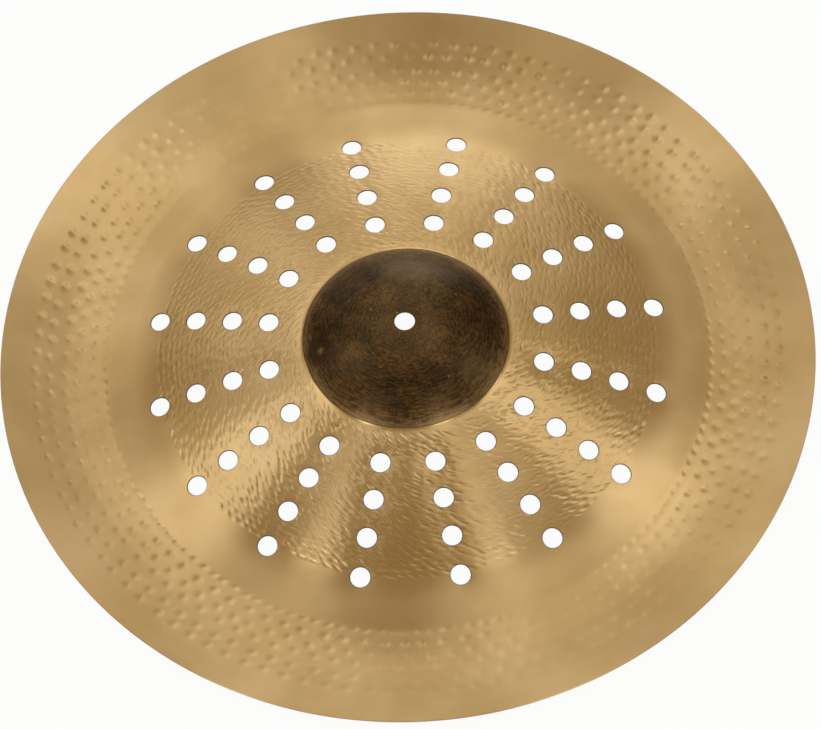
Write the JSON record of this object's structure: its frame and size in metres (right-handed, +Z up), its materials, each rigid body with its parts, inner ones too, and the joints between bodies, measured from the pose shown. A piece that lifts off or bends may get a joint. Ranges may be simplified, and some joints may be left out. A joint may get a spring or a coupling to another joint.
{
  "type": "china cymbal",
  "caption": "Round hammered bronze cymbal with a raised dark bell, a bow pierced by spokes of tone holes, and an upturned flange at the rim.",
  "frame": {"origin": "on the disc's axis, in the plane of the underside of the ring that the cymbal rests on", "axes": "+Z up along the disc's axis, out of the top of the bell; +X to the right and +Y away in the view that shows the one wider gap between spokes at the back"},
  "size_m": [0.5334, 0.5334, 0.0512],
  "materials": {
    "bronze": "hammered and lathed bell bronze, satin, with fine turning lines",
    "raw_bronze": "unlathed bell with its dark brown casting skin"
  },
  "bodies": {
    "root": {"cymbal": "bronze"}
  },
  "joints": []
}
